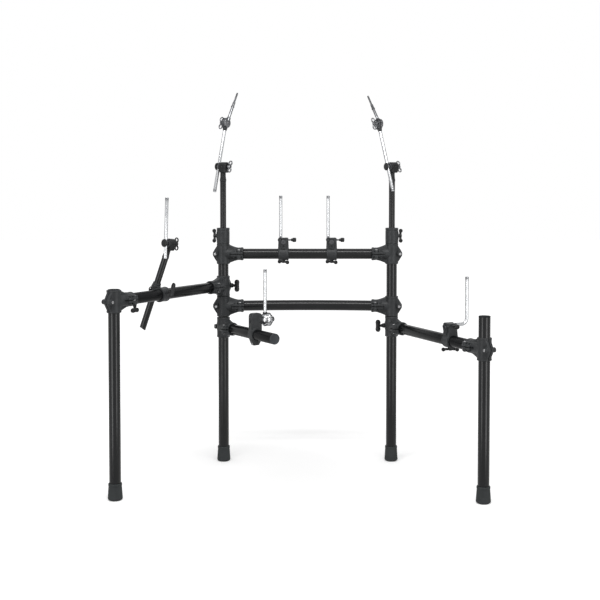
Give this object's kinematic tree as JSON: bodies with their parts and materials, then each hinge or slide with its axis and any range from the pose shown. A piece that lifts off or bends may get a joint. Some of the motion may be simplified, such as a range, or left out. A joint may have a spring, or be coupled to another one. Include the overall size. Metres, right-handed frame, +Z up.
{
  "type": "drum rack frame",
  "caption": "Tubular drum rack on rubber feet: posts and crossbars, swinging side arms, cymbal arms, tom rods, a snare arm and a hi-hat boom, held by T-clamps.",
  "frame": {"origin": "Middle of the footprint box, on the floor under the rubber feet", "axes": "+Z up, +X to the right seen from the player, +Y from the player towards the crossbars"},
  "size_m": [1.263, 0.7046, 1.3628],
  "materials": {
    "powder_coat": "semi-gloss black powder coat on steel tube",
    "clamp_black": "fine-textured black glass-filled nylon",
    "bolt_black": "satin black moulding over a steel screw",
    "rubber": "matte black rubber",
    "chrome": "bright chrome plate"
  },
  "bodies": {
    "frame": {"post_left": "powder_coat", "post_right": "powder_coat", "foot_inner_left": "rubber", "foot_inner_right": "rubber", "sleeve_left": "clamp_black", "sleeve_right": "clamp_black", "crossbar_upper": "powder_coat", "crossbar_lower": "powder_coat", "bar_clamp_upper_left": "clamp_black", "bar_clamp_upper_right": "clamp_black", "bar_clamp_lower_left": "clamp_black", "bar_clamp_lower_right": "clamp_black"},
    "left_side_arm": {"arm_clamp_inner_left": "clamp_black", "side_arm_left": "powder_coat", "arm_clamp_outer_left": "clamp_black"},
    "left_leg": {"leg_left": "powder_coat", "foot_outer_left": "rubber"},
    "right_side_arm": {"arm_clamp_inner_right": "clamp_black", "side_arm_right": "powder_coat", "arm_clamp_outer_right": "clamp_black"},
    "right_leg": {"leg_right": "powder_coat", "foot_outer_right": "rubber"},
    "snare_support": {"snare_arm_clamp": "clamp_black", "snare_arm": "powder_coat"},
    "snare_bracket_body": {"snare_bracket": "clamp_black"},
    "snare_rod_body": {"snare_rod": "chrome"},
    "riser_left_body": {"riser_left": "powder_coat"},
    "rod_holder_left_body": {"rod_holder_left": "clamp_black"},
    "cymbal_rod_left_body": {"cymbal_rod_left": "chrome"},
    "cymbal_tilter_left_body": {"cymbal_tilter_left": "chrome"},
    "riser_right_body": {"riser_right": "powder_coat"},
    "rod_holder_right_body": {"rod_holder_right": "clamp_black"},
    "cymbal_rod_right_body": {"cymbal_rod_right": "chrome"},
    "cymbal_tilter_right_body": {"cymbal_tilter_right": "chrome"},
    "mount_block_tom_left_body": {"mount_block_tom_left": "clamp_black"},
    "mount_rod_tom_left_body": {"mount_rod_tom_left": "chrome"},
    "mount_block_tom_right_body": {"mount_block_tom_right": "clamp_black"},
    "mount_rod_tom_right_body": {"mount_rod_tom_right": "chrome"},
    "mount_block_side_body": {"mount_block_side": "clamp_black"},
    "mount_rod_side_body": {"mount_rod_side": "chrome"},
    "hihat_clamp_body": {"hihat_clamp": "clamp_black"},
    "hihat_boom_body": {"hihat_boom": "powder_coat"},
    "hihat_rod_body": {"hihat_rod": "chrome"},
    "t_bolt_left_body": {"t_bolt_left": "bolt_black"},
    "arm_nut_left_body": {"arm_nut_left": "chrome"},
    "tilter_bolt_left_body": {"tilter_bolt_left": "chrome"},
    "sleeve_bolt_left_body": {"sleeve_bolt_left": "bolt_black"},
    "t_bolt_right_body": {"t_bolt_right": "bolt_black"},
    "arm_nut_right_body": {"arm_nut_right": "chrome"},
    "tilter_bolt_right_body": {"tilter_bolt_right": "chrome"},
    "sleeve_bolt_right_body": {"sleeve_bolt_right": "bolt_black"},
    "mount_screw_tom_left_body": {"mount_screw_tom_left": "bolt_black"},
    "mount_bolt_tom_left_body": {"mount_bolt_tom_left": "bolt_black"},
    "mount_screw_tom_right_body": {"mount_screw_tom_right": "bolt_black"},
    "mount_bolt_tom_right_body": {"mount_bolt_tom_right": "bolt_black"},
    "mount_screw_side_body": {"mount_screw_side": "bolt_black"},
    "mount_bolt_side_body": {"mount_bolt_side": "bolt_black"},
    "hanging_knob_left_body": {"hanging_knob_left": "bolt_black"},
    "hihat_clamp_bolt_body": {"hihat_clamp_bolt": "bolt_black"},
    "hihat_nut_body": {"hihat_nut": "bolt_black"}
  },
  "joints": [
    {"name": "left_side_arm_swing", "type": "hinge", "parent": "frame", "child": "left_side_arm", "pos_m": [-0.27495, 0.23432, 0.648], "axis": [0, 0, 1], "range_deg": [-57, 42]},
    {"name": "right_side_arm_swing", "type": "hinge", "parent": "frame", "child": "right_side_arm", "pos_m": [0.34305, 0.23432, 0.499], "axis": [0, 0, 1], "range_deg": [-35, 62]},
    {"name": "left_leg_height", "type": "slide", "parent": "left_side_arm", "child": "left_leg", "axis": [0, 0, 1], "range_m": [0, 0.12]},
    {"name": "right_leg_height", "type": "slide", "parent": "right_side_arm", "child": "right_leg", "axis": [0, 0, 1], "range_m": [0, 0.12]},
    {"name": "snare_arm_swing", "type": "hinge", "parent": "frame", "child": "snare_support", "pos_m": [-0.27495, 0.23432, 0.496], "axis": [0, 0, 1], "range_deg": [-25, 30]},
    {"name": "snare_bracket_slide", "type": "slide", "parent": "snare_support", "child": "snare_bracket_body", "axis": [0.5358, -0.8443, 0], "range_m": [-0.09, 0.09]},
    {"name": "snare_rod_tilt", "type": "hinge", "parent": "snare_bracket_body", "child": "snare_rod_body", "pos_m": [-0.1501, 0.03759, 0.546], "axis": [0.8443, 0.5358, 0], "range_deg": [-35, 35]},
    {"name": "riser_left_height", "type": "slide", "parent": "frame", "child": "riser_left_body", "axis": [0, 0, 1], "range_m": [-0.12, 0.15]},
    {"name": "cymbal_arm_left_tilt", "type": "hinge", "parent": "riser_left_body", "child": "rod_holder_left_body", "pos_m": [-0.27495, 0.23432, 1.085], "axis": [0.866, -0.5, 0], "range_deg": [-73, 106]},
    {"name": "cymbal_arm_left_reach", "type": "slide", "parent": "rod_holder_left_body", "child": "cymbal_rod_left_body", "axis": [0.1428, 0.2474, 0.9583], "range_m": [-0.08, 0.07]},
    {"name": "cymbal_tilter_left_tilt", "type": "hinge", "parent": "cymbal_rod_left_body", "child": "cymbal_tilter_left_body", "pos_m": [-0.26726, 0.28563, 1.24696], "axis": [0.866, -0.5, 0], "range_deg": [-70, 80]},
    {"name": "riser_right_height", "type": "slide", "parent": "frame", "child": "riser_right_body", "axis": [0, 0, 1], "range_m": [-0.12, 0.15]},
    {"name": "cymbal_arm_right_tilt", "type": "hinge", "parent": "riser_right_body", "child": "rod_holder_right_body", "pos_m": [0.34305, 0.23432, 1.085], "axis": [0.866, 0.5, 0], "range_deg": [-69, 111]},
    {"name": "cymbal_arm_right_reach", "type": "slide", "parent": "rod_holder_right_body", "child": "cymbal_rod_right_body", "axis": [-0.1792, 0.3104, 0.9336], "range_m": [-0.08, 0.07]},
    {"name": "cymbal_tilter_right_tilt", "type": "hinge", "parent": "cymbal_rod_right_body", "child": "cymbal_tilter_right_body", "pos_m": [0.29632, 0.27727, 1.24277], "axis": [0.866, 0.5, 0], "range_deg": [-70, 80]},
    {"name": "mount_tom_left_slide", "type": "slide", "parent": "frame", "child": "mount_block_tom_left_body", "axis": [1, 0, 0], "range_m": [-0.11, 0.06]},
    {"name": "mount_rod_tom_left_turn", "type": "hinge", "parent": "mount_block_tom_left_body", "child": "mount_rod_tom_left_body", "pos_m": [-0.06525, 0.23432, 0.8167], "axis": [0, 1, 0], "range_deg": [-90, 90]},
    {"name": "mount_tom_right_slide", "type": "slide", "parent": "frame", "child": "mount_block_tom_right_body", "axis": [1, 0, 0], "range_m": [-0.06, 0.09]},
    {"name": "mount_rod_tom_right_turn", "type": "hinge", "parent": "mount_block_tom_right_body", "child": "mount_rod_tom_right_body", "pos_m": [0.11135, 0.23432, 0.8167], "axis": [0, 1, 0], "range_deg": [-90, 90]},
    {"name": "mount_side_slide", "type": "slide", "parent": "right_side_arm", "child": "mount_block_side_body", "axis": [0.4226, -0.9063, 0], "range_m": [-0.2, 0.04]},
    {"name": "mount_rod_side_turn", "type": "hinge", "parent": "mount_block_side_body", "child": "mount_rod_side_body", "pos_m": [0.50703, -0.11733, 0.55], "axis": [0.9063, 0.4226, 0], "range_deg": [-90, 90]},
    {"name": "hihat_clamp_slide", "type": "slide", "parent": "left_side_arm", "child": "hihat_clamp_body", "axis": [-0.5314, -0.8471, 0], "range_m": [-0.14, 0.12]},
    {"name": "hihat_boom_height", "type": "slide", "parent": "hihat_clamp_body", "child": "hihat_boom_body", "axis": [0.32, -0.1513, 0.9352], "range_m": [-0.09, 0.1]},
    {"name": "hihat_rod_tilt", "type": "hinge", "parent": "hihat_boom_body", "child": "hihat_rod_body", "pos_m": [-0.43487, -0.07583, 0.82269], "axis": [0.6602, 0.7436, -0.1056], "range_deg": [-60, 75]},
    {"name": "t_bolt_left_turn", "type": "hinge", "parent": "left_side_arm", "child": "t_bolt_left_body", "pos_m": [-0.24175, 0.24773, 0.648], "axis": [0.8471, -0.5314, 0], "continuous": true},
    {"name": "arm_nut_left_turn", "type": "hinge", "parent": "rod_holder_left_body", "child": "arm_nut_left_body", "pos_m": [-0.25763, 0.22432, 1.085], "axis": [0.866, -0.5, 0], "continuous": true},
    {"name": "tilter_bolt_left_turn", "type": "hinge", "parent": "cymbal_rod_left_body", "child": "tilter_bolt_left_body", "pos_m": [-0.27523, 0.29023, 1.24696], "axis": [-0.866, 0.5, 0], "continuous": true},
    {"name": "sleeve_bolt_left_turn", "type": "hinge", "parent": "frame", "child": "sleeve_bolt_left_body", "pos_m": [-0.30095, 0.23432, 0.832], "axis": [-1, 0, 0], "continuous": true},
    {"name": "t_bolt_right_turn", "type": "hinge", "parent": "right_side_arm", "child": "t_bolt_right_body", "pos_m": [0.31176, 0.25173, 0.499], "axis": [-0.9063, -0.4226, 0], "continuous": true},
    {"name": "arm_nut_right_turn", "type": "hinge", "parent": "rod_holder_right_body", "child": "arm_nut_right_body", "pos_m": [0.36037, 0.24432, 1.085], "axis": [0.866, 0.5, 0], "continuous": true},
    {"name": "tilter_bolt_right_turn", "type": "hinge", "parent": "cymbal_rod_right_body", "child": "tilter_bolt_right_body", "pos_m": [0.28835, 0.27267, 1.24277], "axis": [-0.866, -0.5, 0], "continuous": true},
    {"name": "sleeve_bolt_right_turn", "type": "hinge", "parent": "frame", "child": "sleeve_bolt_right_body", "pos_m": [0.36905, 0.23432, 0.832], "axis": [1, 0, 0], "continuous": true},
    {"name": "mount_screw_tom_left_turn", "type": "hinge", "parent": "mount_block_tom_left_body", "child": "mount_screw_tom_left_body", "pos_m": [-0.05425, 0.23432, 0.8167], "axis": [1, 0, 0], "continuous": true},
    {"name": "mount_bolt_tom_left_turn", "type": "hinge", "parent": "mount_block_tom_left_body", "child": "mount_bolt_tom_left_body", "pos_m": [-0.05425, 0.23432, 0.7417], "axis": [0, 0, -1], "continuous": true},
    {"name": "mount_screw_tom_right_turn", "type": "hinge", "parent": "mount_block_tom_right_body", "child": "mount_screw_tom_right_body", "pos_m": [0.12235, 0.23432, 0.8167], "axis": [1, 0, 0], "continuous": true},
    {"name": "mount_bolt_tom_right_turn", "type": "hinge", "parent": "mount_block_tom_right_body", "child": "mount_bolt_tom_right_body", "pos_m": [0.12235, 0.23432, 0.7417], "axis": [0, 0, -1], "continuous": true},
    {"name": "mount_screw_side_turn", "type": "hinge", "parent": "mount_block_side_body", "child": "mount_screw_side_body", "pos_m": [0.51168, -0.1273, 0.55], "axis": [0.4226, -0.9063, 0], "continuous": true},
    {"name": "mount_bolt_side_turn", "type": "hinge", "parent": "mount_block_side_body", "child": "mount_bolt_side_body", "pos_m": [0.51168, -0.1273, 0.475], "axis": [0, 0, -1], "continuous": true},
    {"name": "hanging_knob_left_turn", "type": "hinge", "parent": "left_side_arm", "child": "hanging_knob_left_body", "pos_m": [-0.53266, -0.23203, 0.632], "axis": [0, 0, -1], "continuous": true},
    {"name": "hihat_clamp_bolt_turn", "type": "hinge", "parent": "hihat_clamp_body", "child": "hihat_clamp_bolt_body", "pos_m": [-0.43733, -0.08289, 0.65929], "axis": [0.796, -0.4994, 0.342], "continuous": true},
    {"name": "hihat_nut_turn", "type": "hinge", "parent": "hihat_rod_body", "child": "hihat_nut_body", "pos_m": [-0.42166, -0.06096, 0.82058], "axis": [0.6602, 0.7436, -0.1056], "continuous": true}
  ]
}
